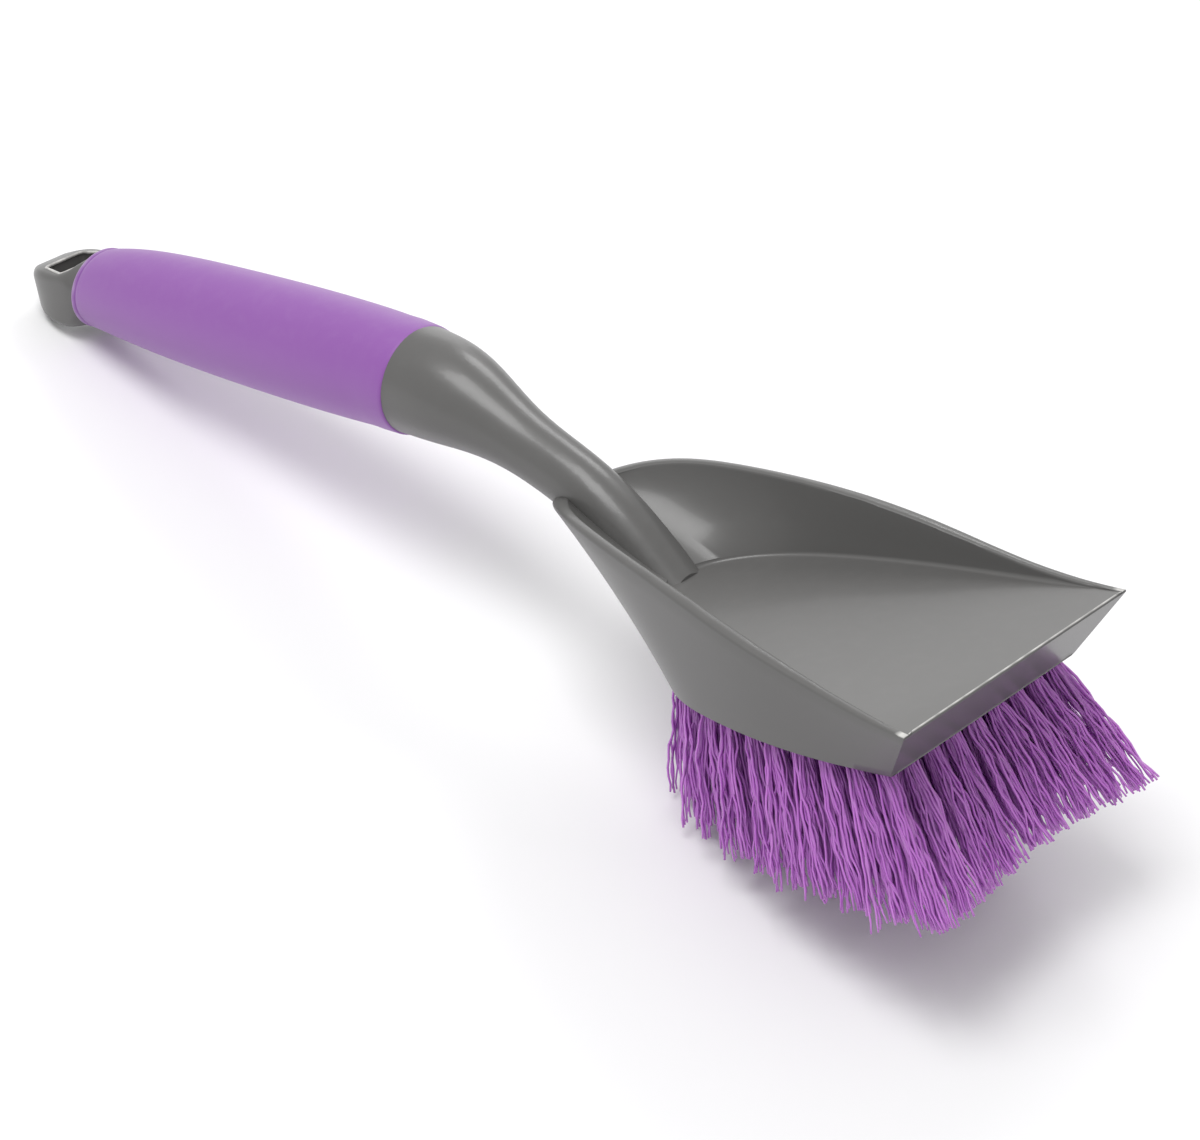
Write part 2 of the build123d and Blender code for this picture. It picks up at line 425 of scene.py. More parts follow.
def mouldedMaterial(name, look):
    material = bpy.data.materials.new(name)
    material.use_nodes = True
    tree = material.node_tree
    shader = tree.nodes["Principled BSDF"]
    skin = placeGroup(tree, mouldedSkin, look["skin"])
    dust = placeGroup(tree, dustFilm, look["dust"])
    tree.links.new(skin.outputs["Color"], dust.inputs["Color"])
    # painted highlight: edges marked on the mesh are lightened in scuff-like patches
    highlightWear = placeGroup(tree, edgeHighlightWear, {"Highlight Wear": look["highlightWear"]})
    tree.links.new(dust.outputs["Color"], highlightWear.inputs["Color"])
    tree.links.new(highlightWear.outputs["Color"], shader.inputs["Base Color"])
    tree.links.new(skin.outputs["Roughness"], shader.inputs["Roughness"])
    tree.links.new(skin.outputs["Normal"], shader.inputs["Normal"])
    shader.inputs["IOR"].default_value = mouldedGloss["ior"]
    shader.inputs["Sheen Weight"].default_value = look["sheen"]
    shader.inputs["Coat Weight"].default_value = look["coat"]
    shader.inputs["Coat Roughness"].default_value = mouldedGloss["coatRoughness"]
    return material


metalLooks = {
    "zincScrew": {
        "Color": (0.62, 0.61, 0.58, 1.0),
        "Shade": (0.40, 0.39, 0.37, 1.0),
        "Roughness Low": 0.22,
        "Roughness High": 0.45,
    },
    "anchorWire": {
        "Color": (0.72, 0.70, 0.64, 1.0),
        "Shade": (0.50, 0.47, 0.42, 1.0),
        "Roughness Low": 0.18,
        "Roughness High": 0.38,
    },
}
metalGrain = {
    "Drift": 1.0,
    "Peel Scale": 900.0,
    "Grain Scale": 4200.0,
    "Peel Depth": 0.5,
}


def metalMaterial(name, look):
    material = bpy.data.materials.new(name)
    material.use_nodes = True
    tree = material.node_tree
    shader = tree.nodes["Principled BSDF"]
    skin = placeGroup(tree, mouldedSkin, {**metalGrain, **look})
    tree.links.new(skin.outputs["Color"], shader.inputs["Base Color"])
    tree.links.new(skin.outputs["Roughness"], shader.inputs["Roughness"])
    tree.links.new(skin.outputs["Normal"], shader.inputs["Normal"])
    shader.inputs["Metallic"].default_value = 1.0
    return material


greyPlastic = mouldedMaterial("greyPlastic", greyPlasticLook)
softRubber = mouldedMaterial("softRubber", softGripLook)
darkPlastic = mouldedMaterial("darkBlockPlastic", blockPlasticLook)
zincScrew = metalMaterial("zincScrew", metalLooks["zincScrew"])
wireMetal = metalMaterial("anchorWire", metalLooks["anchorWire"])

filamentLook = {
    "bright": (0.60, 0.225, 0.70, 1.0),
    "deep": (0.41, 0.115, 0.51, 1.0),
    "rough": (0.20, 0.32),
    "glow": 0.2,
    "glowRadius": (1.0, 0.4, 1.0),
    "glowScale": 2.0 * mm,
    "ior": 1.53,
    "coat": 0.25,
    "coatRoughness": 0.15,
}


def filamentMaterial(look):
    # each strand's tone comes from the strandTone attribute, which also holds painted shade that darkens the
    # strand towards the root
    material = bpy.data.materials.new("purpleFilament")
    material.use_nodes = True
    tree = material.node_tree
    nodes, links = tree.nodes, tree.links
    shader = nodes["Principled BSDF"]
    tone = nodes.new("ShaderNodeAttribute")
    tone.attribute_name = "strandTone"
    mix = nodes.new("ShaderNodeMix")
    mix.data_type = "RGBA"
    mix.inputs["A"].default_value = look["deep"]
    mix.inputs["B"].default_value = look["bright"]
    links.new(tone.outputs["Fac"], mix.inputs["Factor"])
    links.new(mix.outputs["Result"], shader.inputs["Base Color"])
    rough = nodes.new("ShaderNodeMapRange")
    rough.inputs["To Min"].default_value = look["rough"][0]
    rough.inputs["To Max"].default_value = look["rough"][1]
    links.new(tone.outputs["Fac"], rough.inputs["Value"])
    links.new(rough.outputs["Result"], shader.inputs["Roughness"])
    shader.inputs["Subsurface Weight"].default_value = look["glow"]
    shader.inputs["Subsurface Radius"].default_value = look["glowRadius"]
    shader.inputs["Subsurface Scale"].default_value = look["glowScale"]
    shader.inputs["IOR"].default_value = look["ior"]
    shader.inputs["Coat Weight"].default_value = look["coat"]
    shader.inputs["Coat Roughness"].default_value = look["coatRoughness"]
    return material


purpleFilament = filamentMaterial(filamentLook)


def dress(name, material):
    node = frame["nodes"][name]
    node.data.materials.clear()
    node.data.materials.append(material)


for nodeName, finish in {
    "pan_shell": greyPlastic,
    "handle_stem": greyPlastic,
    "hang_loop": greyPlastic,
    "grip_sleeve": softRubber,
    "brush_block": darkPlastic,
    "block_screws": zincScrew,
    "stem_screws": zincScrew,
}.items():
    dress(nodeName, finish)
rowCount = 10
for rowNumber in range(1, rowCount + 1):
    dress(f"tuft_anchors_{rowNumber}", wireMetal)
print("finishes ready")


# shaping helpers

fineSteps = 1200


def smoothLine(points, count):
    # cubic line through points, sampled evenly along its length
    points = np.array(points, float)
    knots = np.concatenate([[0.0], np.cumsum(np.linalg.norm(np.diff(points, axis=0), axis=1))])
    steps = np.diff(knots)
    size = len(points)
    system = np.eye(size)
    right = np.zeros_like(points)
    for i in range(1, size - 1):
        system[i, i - 1:i + 2] = steps[i - 1], 2 * (steps[i - 1] + steps[i]), steps[i]
        right[i] = 6 * ((points[i + 1] - points[i]) / steps[i] - (points[i] - points[i - 1]) / steps[i - 1])
    curl = np.linalg.solve(system, right)

    def at(t):
        i = np.clip(np.searchsorted(knots, t) - 1, 0, size - 2)
        h = steps[i][:, None]
        a = (knots[i + 1] - t)[:, None] / h
        b = (t - knots[i])[:, None] / h
        bend = ((a ** 3 - a) * curl[i] + (b ** 3 - b) * curl[i + 1]) * h ** 2 / 6
        return a * points[i] + b * points[i + 1] + bend

    dense = at(np.linspace(0, knots[-1], fineSteps))
    run = np.concatenate([[0.0], np.cumsum(np.linalg.norm(np.diff(dense, axis=0), axis=1))])
    wanted = np.linspace(0.0, 1.0, count) * run[-1]
    return np.stack([np.interp(wanted, run, dense[:, k]) for k in range(points.shape[1])], axis=1)


def ringLoft(name, rings):
    # a circle primitive laid on the first ring, closed, and extruded from ring to ring
    count = len(rings[0])
    clearSelection()
    bpy.ops.mesh.primitive_circle_add(vertices=count, radius=1.0, fill_type="NOTHING")
    piece = bpy.context.object
    piece.name = name
    pick(piece)
    bpy.ops.object.mode_set(mode="EDIT")
    bpy.ops.mesh.select_mode(type="VERT")
    cage = bmesh.from_edit_mesh(piece.data)
    cage.verts.ensure_lookup_table()
    order = list(range(count))
    for index, place in zip(order, rings[0]):
        cage.verts[index].co = place
    bpy.ops.mesh.select_all(action="SELECT")
    bpy.ops.mesh.edge_face_add()
    cage = bmesh.from_edit_mesh(piece.data)
    for ring in rings[1:]:
        cage.verts.ensure_lookup_table()
        before = [cage.verts[index] for index in order]
        for vert in cage.verts:
            vert.select = False
        cage.select_flush(False)
        for first, second in zip(before, before[1:] + before[:1]):
            first.select = True
            edge = next(e for e in first.link_edges if e.other_vert(first) == second)
            edge.select = True
        bpy.ops.mesh.extrude_edges_move()
        cage = bmesh.from_edit_mesh(piece.data)
        cage.verts.ensure_lookup_table()
        total = len(cage.verts)
        follow = {}
        for index in range(total - count, total):
            for edge in cage.verts[index].link_edges:
                other = edge.other_vert(cage.verts[index])
                if other.index < total - count:
                    follow[other.index] = index
        order = [follow[index] for index in order]
        for index, place in zip(order, ring):
            cage.verts[index].co = place
    bpy.ops.mesh.edge_face_add()
    bmesh.update_edit_mesh(piece.data)
    bpy.ops.mesh.select_all(action="SELECT")
    bpy.ops.mesh.normals_make_consistent(inside=False)
    bpy.ops.object.mode_set(mode="OBJECT")
    return piece


def markEdges(piece, isEdge):
    # 1 where the test holds at a vertex, in the tool's own millimetres
    values = [1.0 if isEdge(v.index, v.co / mm) else 0.0 for v in piece.data.vertices]
    mark = piece.data.attributes.new("edgeHighlightMark", "FLOAT", "POINT")
    mark.data.foreach_set("value", values)


def finishPiece(piece, material, nodes, sharpAngle=35.0):
    settle(piece, toolFrame)
    piece.data.materials.clear()
    piece.data.materials.append(material)
    pick(piece)
    bpy.ops.object.shade_smooth_by_angle(angle=math.radians(sharpAngle))
    applyModifiers(piece)
    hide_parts(*nodes)
    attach(piece, "root")


# pan

# half outlines from the front corner to the middle of the back, millimetres
pan = {
    "skirt": [(-16, 41.3), (-37, 43.0), (-62, 42.5), (-86, 39.0), (-107, 32.0), (-120, 20.0), (-126.5, 0)],
    "draft": [(21.5, 61.7), (-23, 49.9), (-66, 45.3), (-108, 37.2), (-145, 27.2), (-169, 15.8), (-185, 0)],
    "floor": [
        (30, 56.0), (0, 47.8), (-24, 43.8), (-57, 39.2), (-90, 32.0), (-113, 22.5), (-125, 11.5), (-129, 0),
    ],
    "mouth": [
        (30, 63.0), (3, 51.6), (-23, 47.4), (-64, 42.9), (-108, 34.6), (-143, 24.6), (-166, 13.6), (-180, 0),
    ],
    "rim": [
        (30, 20.0), (0, 20.0), (-12, 21.0), (-55, 29.8), (-95, 39.2),
        (-128, 44.3), (-148, 46.0), (-161, 45.4), (-172, 43.0), (-183, 38.0), (-195, 31.0),
    ],
    "draftTop": 48.0,
    "floorHeight": 20.0,
    "ceiling": 16.5,
    "wall": 2.4,
    "sideColumns": 80,
    "frontColumns": 36,
    "wallRings": 7,
    "rimRound": 1.15,
    "rimSteps": 8,
    "rimPower": 0.8,
    "lipRound": 0.8,
    "lipFade": 4.0,
    "lipBack": 1.3,
    "filletRound": 1.3,
    "filletShare": 0.75,
    "filletLeast": 0.05,
    "filletSteps": 5,
    "filletCreep": 0.05,
    "innerSteps": 3,
    "innerCreep": 0.02,
    "edgeRound": 0.35,
    "innerSamples": 601,
    "rimSamples": 400,
    "firstRise": 10.0,
    "rimPasses": 30,
    # rings along the lip's rounded edge that get the painted highlight, and the x they start from
    "highlightRings": (13, 14, 15, 16),
    "highlightFrom": -3.0,
}


def wholeOutline(half):
    return list(half) + [(x, -y) for x, y in reversed(half[:-1])]


def panRings(look):
    side = 2 * look["sideColumns"] + 1
    low = smoothLine(wholeOutline(look["skirt"]), side)
    high = smoothLine(wholeOutline(look["draft"]), side)
    innerLow = smoothLine(wholeOutline(look["floor"]), look["innerSamples"])
    innerHigh = smoothLine(wholeOutline(look["mouth"]), look["innerSamples"])
    rimLine = smoothLine(look["rim"], look["rimSamples"])[::-1]
    floorHeight = look["floorHeight"]
    edgeRound = look["edgeRound"]
    inset = look["wall"]
    power = look["rimPower"]

    def outer(column, z):
        share = z / look["draftTop"]
        return low[column] + (high[column] - low[column]) * share

    def innerLine(z):
        share = (z - floorHeight) / (look["draftTop"] - floorHeight)
        return innerLow + (innerHigh - innerLow) * share

    def rimHeight(x):
        return max(floorHeight, float(np.interp(x, rimLine[:, 0], rimLine[:, 1])))

    columns = []
    for column in range(side):
        # the rim's height depends on how far out the wall has got, so it is found in passes
        top = floorHeight + look["firstRise"]
        for _ in range(look["rimPasses"]):
            top = 0.5 * top + 0.5 * rimHeight(outer(column, top)[0])
        edge = outer(column, top)
        near = innerLine(top)
        match = int(np.argmin(np.linalg.norm(near - edge, axis=1)))
        inward = near[match] - edge
        inward = inward / max(np.linalg.norm(inward), 1e-6)
        wallHeight = max(top - floorHeight, 0.0)
        share = min(1.0, wallHeight / look["lipFade"])
        drop = look["lipRound"] + (look["rimRound"] - look["lipRound"]) * share
        fillet = look["filletShare"] * max(wallHeight - drop, 0.0)
        fillet = min(look["filletRound"], fillet) + look["filletLeast"]
        base = outer(column, 0.0)
        line = [
            (base + inward * inset, look["ceiling"]),
            (base + inward * inset, edgeRound),
            (base + inward * (inset - edgeRound), 0.0),
            (base + inward * edgeRound, 0.0),
        ]
        shoulder = top - drop
        for step in range(look["wallRings"] + 1):
            z = edgeRound + (shoulder - edgeRound) * step / look["wallRings"]
            line.append((outer(column, z), z))
        startPoint = outer(column, shoulder)
        lowZ = max(shoulder, floorHeight)
        endPoint = innerLine(lowZ)[match]
        if wallHeight < drop:
            endPoint = startPoint + inward * inset
        # over the rim and down to the inner wall
        for step in range(1, look["rimSteps"] + 1):
            angle = math.pi * step / look["rimSteps"]
            share = (1 - math.copysign(abs(math.cos(angle)) ** power, math.cos(angle))) / 2
            baseZ = shoulder + (lowZ - shoulder) * share
            z = baseZ + drop * abs(math.sin(angle)) ** power
            z = min(z, top) if wallHeight > drop else max(min(z, top), baseZ)
            if angle > math.pi / 2 and wallHeight < drop:
                z = max(z, floorHeight + wallHeight * math.sin(angle) ** power)
            line.append((startPoint + (endPoint - startPoint) * share, z))
        innerBottom = min(floorHeight + fillet, lowZ)
        for step in range(1, look["innerSteps"] + 1):
            z = lowZ + (innerBottom - lowZ) * step / look["innerSteps"]
            point = endPoint + inward * look["innerCreep"] * step
            if wallHeight >= drop:
                point = innerLine(z)[match]
            line.append((point, z))
        corner = line[-1][0]
        reach = innerBottom - floorHeight
        for step in range(1, look["filletSteps"] + 1):
            angle = math.pi / 2 * step / look["filletSteps"]
            run = reach * (1 - math.cos(angle)) + look["filletCreep"] * step
            line.append((corner + inward * run, floorHeight + reach * (1 - math.sin(angle))))
        columns.append([(float(p[0]), float(p[1]), float(z)) for p, z in line])
    # front columns run across between the two corner columns
    first, last = columns[0], columns[-1]
    lipStart = 4 + look["wallRings"]
    front = []
    for step in range(1, look["frontColumns"]):
        share = step / look["frontColumns"]
        column = [[b + (a - b) * share for a, b in zip(one, two)] for one, two in zip(first, last)]
        for ring in range(lipStart, len(column)):
            # the lip is rolled back along its whole front
            column[ring][0] -= look["lipBack"] * min(1.0, (ring - lipStart) / look["rimSteps"])
        front.append(column)
    everything = columns + front
    return [[Vector(c[k]) * mm for c in everything] for k in range(len(first))]


shellRings = panRings(pan)
panShell = ringLoft("panShell", shellRings)
# painted highlight along the lip's rounded edge
markEdges(panShell, lambda index, place: (
    index // len(shellRings[0]) in pan["highlightRings"] and place.x > pan["highlightFrom"]
))
finishPiece(panShell, greyPlastic, ["pan_shell"])
print("pan in place")


# soft grip

# stations along the handle: x, height, half width, half height, millimetres
softGrip = {
    "stations": [
        (-401.5, 77.9, 13.8, 13.4), (-385, 77.9, 15.8, 15.5), (-360, 76.8, 17.7, 17.5),
        (-325, 74.6, 19.0, 18.7), (-290, 72.4, 19.4, 19.2), (-262, 70.6, 19.1, 19.0),
        (-237.5, 68.6, 18.1, 18.1), (-228, 67.2, 17.4, 17.4), (-216, 64.4, 15.9, 15.8),
    ],
    "rear": -401.5,
    "front": -237.5,
    "around": 96,
    "along": 56,
    "samples": 600,
    # both ends are cut on a slant: forward shift, slope, and how far the slant reaches
    "rearSlant": (2.0, 0.22, 34.0),
    "frontSlant": (3.0, 0.17, 40.0),
    # distance from the end, how far the skin is drawn in there
    "rearLip": [
        (0.0, 2.6), (0.0, 0.6), (0.2, 0.05), (0.6, -0.3), (1.2, -0.32), (1.6, 0.0), (2.0, 0.5), (2.8, 0.45),
        (3.6, 0.12), (5.0, 0.0),
    ],
    "frontLip": [
        (10.0, -0.1), (7.5, -0.3), (3.0, -0.38), (1.2, -0.42), (0.5, -0.36), (0.15, -0.15), (0.0, 0.15),
        (0.0, 2.4),
    ],
    # rings of the rear end that get the painted highlight
    "highlightRings": (2, 3, 4, 5),
}


def barRings(look):
    line = smoothLine(look["stations"], look["samples"])

    def section(x):
        return [float(np.interp(x, line[:, 0], line[:, k])) for k in (1, 2, 3)]

    length = look["front"] - look["rear"]
    spots = list(look["rearLip"])
    first, last = spots[-1][0], length - look["frontLip"][0][0]
    spots += [(first + (last - first) * step / look["along"], 0.0) for step in range(1, look["along"])]
    spots += [(length - distance, drawIn) for distance, drawIn in look["frontLip"]]
    rings = []
    for distance, drawIn in spots:
        x = look["rear"] + distance
        rear = max(0.0, 1.0 - distance / look["rearSlant"][2]) ** 2
        front = max(0.0, 1.0 - (length - distance) / look["frontSlant"][2]) ** 2
        shift = look["rearSlant"][0] * rear + look["frontSlant"][0] * front
        slant = look["rearSlant"][1] * rear + look["frontSlant"][1] * front
        halfHeight = section(x)[2]
        ring = []
        for step in range(look["around"]):
            angle = math.tau * step / look["around"]
            place = x + shift + slant * halfHeight * math.sin(angle)
            z, wide, high = section(place)
            across = (wide - drawIn) * math.cos(angle)
            ring.append(Vector((place, across, z + (high - drawIn) * math.sin(angle))) * mm)
        rings.append(ring)
    return rings


gripSkin = ringLoft("softGrip", barRings(softGrip))
# painted highlight on the rear end, from its edge to the foot of the raised ring, broken into scuff-like
# patches
markEdges(gripSkin, lambda index, place: index // softGrip["around"] in softGrip["highlightRings"])
finishPiece(gripSkin, softRubber, ["grip_sleeve"], 50.0)
print("grip in place")


# hang loop

# stations: x, height of the centre, half width, half height, corner radius, millimetres
hangLoop = {
    "stations": [
        (-394.0, 78.2, 12.6, 12.2, 12.0), (-399.0, 78.2, 12.9, 12.0, 11.0), (-403.0, 77.4, 13.5, 10.5, 5.0),
        (-408.5, 76.5, 13.9, 9.8, 2.7), (-415, 76.9, 13.7, 9.3, 2.6), (-422.0, 77.6, 12.0, 8.4, 2.7),
        (-427.3, 78.7, 8.8, 6.6, 3.0),
    ],
    "along": 28,
    "cornerSteps": 9,
    "leastFlat": 0.05,
    # the blunt end is rolled over: drawn in, pushed out, corner radius left, steps
    "endRound": 1.6,
    "endReach": 0.35,
    "endCorner": 0.5,
    "endSteps": 3,
    # front and rear end of the slot: x, half width
    "slotEnds": ((-404.8, 11.0), (-420.2, 8.6)),
    "slotHeight": 77.0,
    "slotReach": 25.0,
    "slotCorner": 2.4,
    "slotSteps": 6,
    "rimRadius": 0.55,
    "rimSink": 0.45,
    "rimSegments": 2,
    "rimSamples": 200,
}


def roundedRing(x, z, halfWidth, halfHeight, corner, look):
    corner = min(corner, halfWidth - look["leastFlat"], halfHeight - look["leastFlat"])
    steps = look["cornerSteps"]
    ring = []
    for quarter in range(4):
        centreY = (halfWidth - corner) * (1 if quarter in (0, 3) else -1)
        centreZ = (halfHeight - corner) * (1 if quarter in (0, 1) else -1)
        for step in range(steps + 1):
            angle = math.pi / 2 * (quarter + step / steps)
            y = centreY + corner * math.cos(angle)
            ring.append(Vector((x, y, z + centreZ + corner * math.sin(angle))) * mm)
    return ring


def loopRings(look):
    line = smoothLine(look["stations"], look["along"])
    rings = [roundedRing(*[float(v) for v in spot], look) for spot in line]
    x, z, halfWidth, halfHeight, corner = (float(v) for v in line[-1])
    for step in range(1, look["endSteps"] + 1):
        angle = math.pi / 2 * step / look["endSteps"]
        shrink = look["endRound"] * (1 - math.cos(angle))
        rings.append(roundedRing(
            x - look["endReach"] * math.sin(angle), z, halfWidth - shrink, halfHeight - shrink,
            max(corner - shrink, look["endCorner"]), look,
        ))
    return rings


def slotOutline(look):
    # rounded corners, once round the slot
    (frontX, frontHalf), (rearX, rearHalf) = look["slotEnds"]
    corner = look["slotCorner"]
    steps = look["slotSteps"]
    spots = []
    for x, y, start in (
        (frontX, frontHalf, 0.0), (rearX, rearHalf, 0.5), (rearX, -rearHalf, 1.0), (frontX, -frontHalf, 1.5),
    ):
        centreX = x - corner if x == frontX else x + corner
        centreY = y - math.copysign(corner, y)
        for step in range(steps + 1):
            angle = math.pi * (start + step / (2 * steps))
            spots.append((centreX + corner * math.cos(angle), centreY + corner * math.sin(angle)))
    return spots


def cutSlot(piece, look):
    outline = slotOutline(look)
    cutter = ringLoft("slotCutter", [
        [Vector((x, y, look["slotHeight"] + lift)) * mm for x, y in outline]
        for lift in (-look["slotReach"], look["slotReach"])
    ])
    pick(piece)
    cut = piece.modifiers.new("slot", "BOOLEAN")
    cut.operation = "DIFFERENCE"
    cut.solver = "EXACT"
    cut.object = cutter
    applyModifiers(piece)
    bpy.data.objects.remove(cutter)


def addSlotRim(piece, look):
    # a moulded bead round the slot's upper edge
    line = smoothLine(look["stations"], look["rimSamples"])[::-1]
    path = bpy.data.curves.new("slotRim", "CURVE")
    path.dimensions = "3D"
    path.bevel_depth = look["rimRadius"] * mm
    path.bevel_resolution = look["rimSegments"]
    outline = slotOutline(look)
    run = path.splines.new("POLY")
    run.points.add(len(outline) - 1)
    for point, (x, y) in zip(run.points, outline):
        top = float(np.interp(x, line[:, 0], line[:, 1] + line[:, 3]))
        place = Vector((x, y, top - look["rimSink"] * look["rimRadius"])) * mm
        point.co = (*place, 1.0)
    run.use_cyclic_u = True
    rim = bpy.data.objects.new("slotRim", path)
    bpy.context.scene.collection.objects.link(rim)
    pick(rim)
    bpy.ops.object.convert(target="MESH")
    # painted highlight all round the slot's bead
    markEdges(rim, lambda index, place: True)
    pick(rim)
    piece.select_set(True)
    bpy.context.view_layer.objects.active = piece
    bpy.ops.object.join()


loopEnd = ringLoft("hangLoop", loopRings(hangLoop))
cutSlot(loopEnd, hangLoop)
# the loop body gets no painted highlight; only the bead round the slot does
markEdges(loopEnd, lambda index, place: False)
addSlotRim(loopEnd, hangLoop)
finishPiece(loopEnd, greyPlastic, ["hang_loop"], 40.0)
print("hang loop in place")


# bristles

strandShape = {
    "sides": 4,
    "radius": 0.46 * mm,
    "tipRadius": 0.34 * mm,
    "taperPower": 3,
    "bands": 16,
    "swell": 4.0,
    "waves": (1.6, 2.9),
    "wave": 0.5 * mm,
    "waveSkew": (0.55, 1.0),
    "waveDrift": 0.6,
    "sideWave": 0.83,
    "crimps": (4.2, 5.6),
    "crimp": 0.24 * mm,
    "sideCrimp": 0.9,
    "kinds": 14,
    "seed": 41,
}
tuftShape = {
    "strands": 40,
    "rootHeight": 2.0 * mm,
    "rootRadius": 1.9 * mm,
    "tipRadius": 7.2 * mm,
    "fan": 0.78,
    "turnStep": 2.39996,
    "turnJitter": 0.2,
    "locks": 8,
    "lockJitter": 0.3,
    "lockOut": (0.15, 1.0),
    "lockPull": 0.55,
    "pullSpread": (0.6, 1.3),
    "lockReach": 2.6 * mm,
    "reachSpread": 4.0 * mm,
    "bow": 1.5 * mm,
    "twist": 0.6,
    "strays": 0.03,
    "strayPull": 1.55,
    "tone": 0.55,
    "tuftTone": 0.12,
    "strandTone": 0.35,
    # painted shade: each strand's tone is darkened towards the root, where the tuft shades itself
    "rootShade": 0.6,
    "rootShadeLift": 0.5,
    "endBand": 0.2 * mm,
    "tuftGap": 1.0 * mm,
    "rowSeed": 100,
}
# set with use, millimetres: where each part of the brush begins and ends, and how its tips have moved
tipSet = {
    "rearAlong": (45, 110),
    "rearAcross": (12, 34),
    "rearShift": (3.0, -3.2, 1.8),
    "frontAlong": (-70, -24),
    "frontAcross": (15, 38),
    "frontShift": (3.0, 0.6, 1.0),
    "middleAlong": (-60, -24),
    "middleAcross": (8, 26),
    "middleAt": 8,
    "middleLift": 3.2,
}


def modelStrand(kind, shape, rng):
    # one crimped filament, one unit long, standing on the origin
    clearSelection()
    bpy.ops.mesh.primitive_cylinder_add(
        vertices=shape["sides"], radius=shape["radius"], depth=1.0, location=(0, 0, 0.5), end_fill_type="NGON"
    )
    strand = bpy.context.object
    strand.name = f"strandKind{kind}"
    settle(strand)
    pick(strand)
    bpy.ops.object.mode_set(mode="EDIT")
    for band in range(1, shape["bands"]):
        bpy.ops.mesh.select_all(action="SELECT")
        bpy.ops.mesh.bisect(plane_co=(0, 0, band / shape["bands"]), plane_no=(0, 0, 1))
    bpy.ops.mesh.select_mode(type="VERT")
    waves = rng.uniform(*shape["waves"])
    startTurn = rng.uniform(0, math.tau)
    skew = rng.uniform(*shape["waveSkew"])
    drift = rng.uniform(-shape["waveDrift"], shape["waveDrift"])
    crimps = rng.uniform(*shape["crimps"])
    crimpTurn = rng.uniform(0, math.tau)
    for band in range(shape["bands"] + 1):
        height = band / shape["bands"]
        cage = bmesh.from_edit_mesh(strand.data)
        for vert in cage.verts:
            vert.select = abs(vert.co.z - height) < 0.2 / shape["bands"]
        cage.select_flush(True)
        swell = min(1.0, height * shape["swell"])
        turn = startTurn + waves * math.tau * height
        kink = crimpTurn + crimps * math.tau * height
        sway = shape["wave"] * math.sin(turn) + shape["crimp"] * math.sin(kink)
        sideSway = (
            shape["wave"] * skew * math.sin(turn * shape["sideWave"] + drift * math.pi)
            + shape["crimp"] * math.cos(kink * shape["sideCrimp"])
        )
        squeeze = 1.0 + (shape["tipRadius"] / shape["radius"] - 1.0) * height ** shape["taperPower"]
        bpy.ops.transform.resize(value=(squeeze, squeeze, 1.0))
        bpy.ops.transform.translate(value=(swell * sway, swell * sideSway, 0.0))
    bpy.ops.object.mode_set(mode="OBJECT")
    points = np.array([v.co for v in strand.data.vertices])
    faces = [list(p.vertices) for p in strand.data.polygons]
    bpy.data.objects.remove(strand)
    return points, faces


def tuftEnds(node, shape):
    # root and tip centres of each tuft in a row, from the row's own solids
    inTool = toolFrame.inverted()
    points = np.array([inTool @ v.co for v in frame["nodes"][node].data.vertices])
    top = points[points[:, 2] > points[:, 2].max() - shape["endBand"]]
    bottom = points[points[:, 2] < points[:, 2].min() + shape["endBand"]]
    ends = []
    for band in (top, bottom):
        band = band[np.argsort(band[:, 1])]
        cuts = np.nonzero(np.diff(band[:, 1]) > shape["tuftGap"])[0] + 1
        ends.append([(g.min(0) + g.max(0)) / 2 for g in np.split(band, cuts)])
    return list(zip(*ends))


def ramp(value, low, high):
    share = min(max((value - low) / (high - low), 0.0), 1.0)
    return share * share * (3 - 2 * share)


def settleTip(root, look):
    # rear corners drawn in and short, front corners flared
    x, y = root[0] / mm, root[1] / mm
    outward = math.copysign(1.0, y)
    rear = ramp(-x, *look["rearAlong"]) * ramp(abs(y), *look["rearAcross"])
    front = ramp(x, *look["frontAlong"]) * ramp(abs(y), *look["frontAcross"])
    middle = ramp(x, *look["middleAlong"]) * (1 - ramp(abs(y - look["middleAt"]), *look["middleAcross"]))
    ahead, out, up = (a * rear + b * front for a, b in zip(look["rearShift"], look["frontShift"]))
    return Vector((ahead, outward * out, up + look["middleLift"] * middle)) * mm


def gatherLocks(shape, rng):
    # the bunches that a tuft's strands fall into
    locks = []
    for lock in range(shape["locks"]):
        turn = math.tau * (lock + rng.uniform(-shape["lockJitter"], shape["lockJitter"])) / shape["locks"]
        out = math.sqrt(rng.uniform(*shape["lockOut"])) if lock else shape["lockOut"][0]
        locks.append((
            turn, out, rng.uniform(0, math.tau), rng.uniform(-1, 1), rng.uniform(-1, 1),
            rng.uniform(-1, 1) * shape["lockReach"] / 2,
        ))
    return locks


def around(radius, angle):
    return radius * math.cos(angle), radius * math.sin(angle)


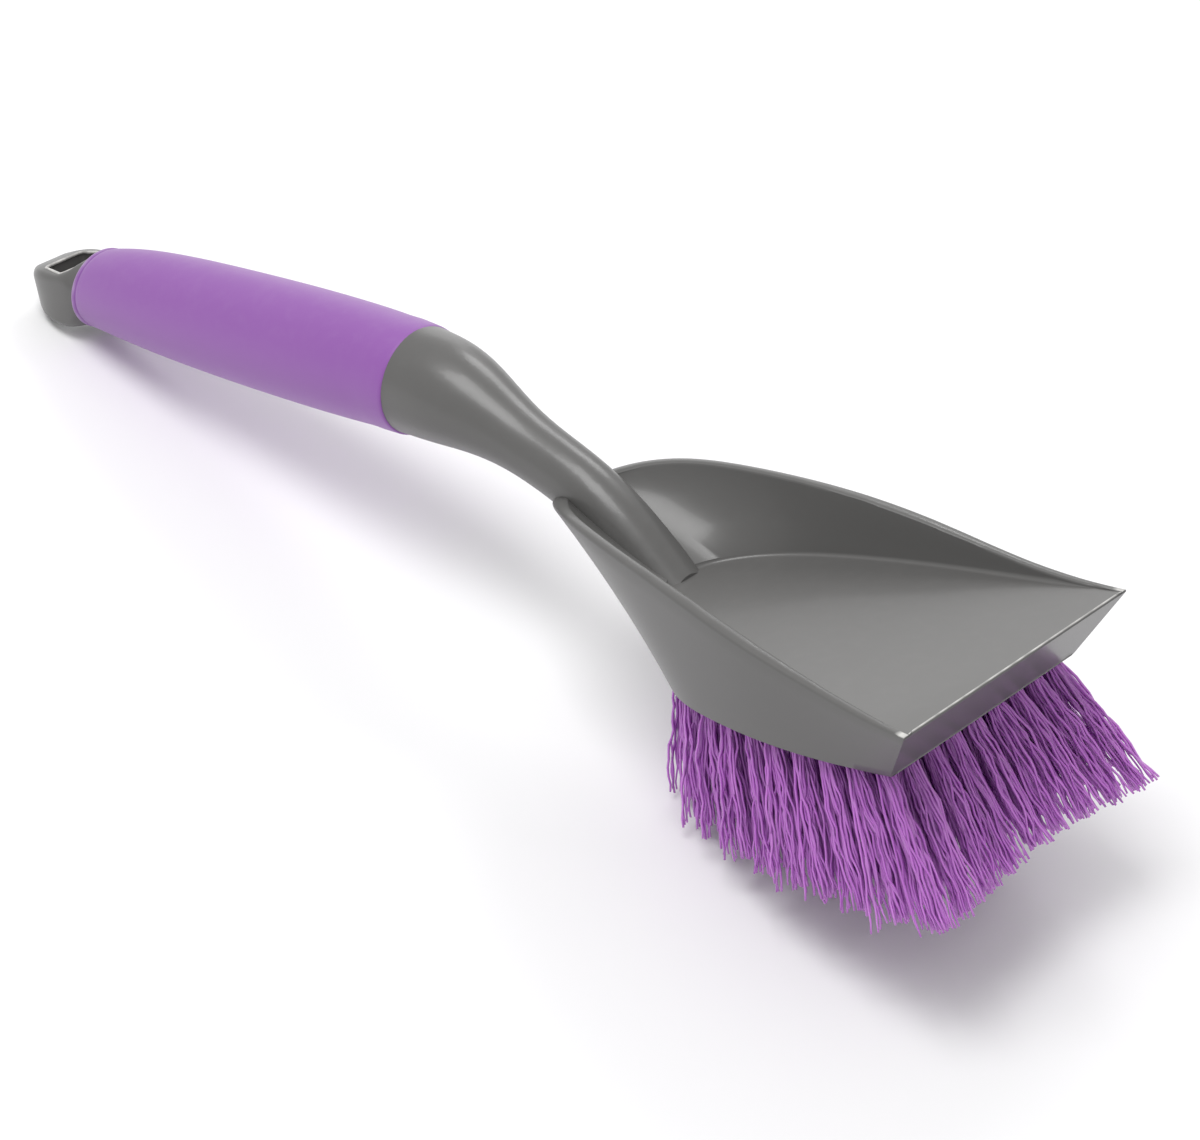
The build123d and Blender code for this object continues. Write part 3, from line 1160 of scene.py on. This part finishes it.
def bendStrand(points, strand, lock, length, shape, rng):
    # a strand's points sideways, ahead and along its tuft
    turn, out, lockTurn, bowSide, bowAhead, lockReach = lock
    spread = math.sqrt((strand + 0.5) / shape["strands"])
    angle = strand * shape["turnStep"] + rng.uniform(-shape["turnJitter"], shape["turnJitter"])
    root = around(spread * shape["rootRadius"], angle)
    freeTip = around(spread * shape["tipRadius"], angle)
    lockTip = around(out * shape["tipRadius"], turn)
    pull = shape["lockPull"] * rng.uniform(*shape["pullSpread"])
    stray = shape["strayPull"] if rng.random() < shape["strays"] else 1.0
    tip = [(a + (b - a) * pull) * stray for a, b in zip(freeTip, lockTip)]
    reach = length + lockReach - rng.uniform(0, shape["reachSpread"]) * rng.random()
    t = points[:, 2]
    twist = lockTurn + rng.uniform(-shape["twist"], shape["twist"])
    x = points[:, 0] * math.cos(twist) - points[:, 1] * math.sin(twist)
    y = points[:, 0] * math.sin(twist) + points[:, 1] * math.cos(twist)
    ease = t ** shape["fan"]
    bow = np.sin(np.pi * t) * shape["bow"]
    sideways = root[0] + (tip[0] - root[0]) * ease + x + bow * bowSide
    ahead = root[1] + (tip[1] - root[1]) * ease + y + bow * bowAhead
    return sideways, ahead, t * reach


def makeRow(number, kinds, shape, rng):
    node = f"bristle_row_{number}"
    allPoints, allFaces, shadedTones = [], [], []
    start = 0
    for root, tip in tuftEnds(node, shape):
        tip = Vector(tip) + settleTip(root, tipSet)
        # the hidden part of the root sits in the block
        face = Vector((root[0], root[1], shape["rootHeight"]))
        lean = tip - face
        along = lean.normalized()
        side = along.cross(Vector((1, 0, 0))).normalized()
        ahead = side.cross(along)
        locks = gatherLocks(shape, rng)
        tuftTone = rng.uniform(-shape["tuftTone"], shape["tuftTone"])
        for strand in range(shape["strands"]):
            points, faces = kinds[rng.randrange(len(kinds))]
            lock = locks[strand % shape["locks"]]
            sideways, forward, run = bendStrand(points, strand, lock, lean.length, shape, rng)
            allPoints.append(
                np.array(face)
                + np.outer(run, np.array(along))
                + np.outer(sideways, np.array(side))
                + np.outer(forward, np.array(ahead))
            )
            allFaces.extend([[i + start for i in f] for f in faces])
            start += len(points)
            tone = shape["tone"] + tuftTone + rng.uniform(-shape["strandTone"], shape["strandTone"])
            # painted shade: the tone is darkened towards the root
            shadedTones.append(np.clip(tone * (shape["rootShade"] + shape["rootShadeLift"] * points[:, 2]), 0, 1))
    cloud = np.concatenate(allPoints)
    cloud = np.array([toolFrame @ Vector(p) for p in cloud])
    # nothing goes through the table
    cloud[:, 2] = np.maximum(cloud[:, 2], 0.0)
    mesh = bpy.data.meshes.new(f"bristleRow{number}")
    mesh.from_pydata(cloud.tolist(), [], allFaces)
    mesh.update()
    layer = mesh.attributes.new("strandTone", "FLOAT", "POINT")
    layer.data.foreach_set("value", np.concatenate(shadedTones).astype(np.float32))
    row = bpy.data.objects.new(f"bristleRow{number}", mesh)
    bpy.context.scene.collection.objects.link(row)
    mesh.materials.append(purpleFilament)
    pick(row)
    bpy.ops.object.shade_smooth()
    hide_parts(node)
    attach(row, "root")


strandRng = random.Random(strandShape["seed"])
strandKinds = [modelStrand(kind, strandShape, strandRng) for kind in range(strandShape["kinds"])]
for rowNumber in range(1, rowCount + 1):
    makeRow(rowNumber, strandKinds, tuftShape, random.Random(tuftShape["rowSeed"] + rowNumber))
print("bristles in place")
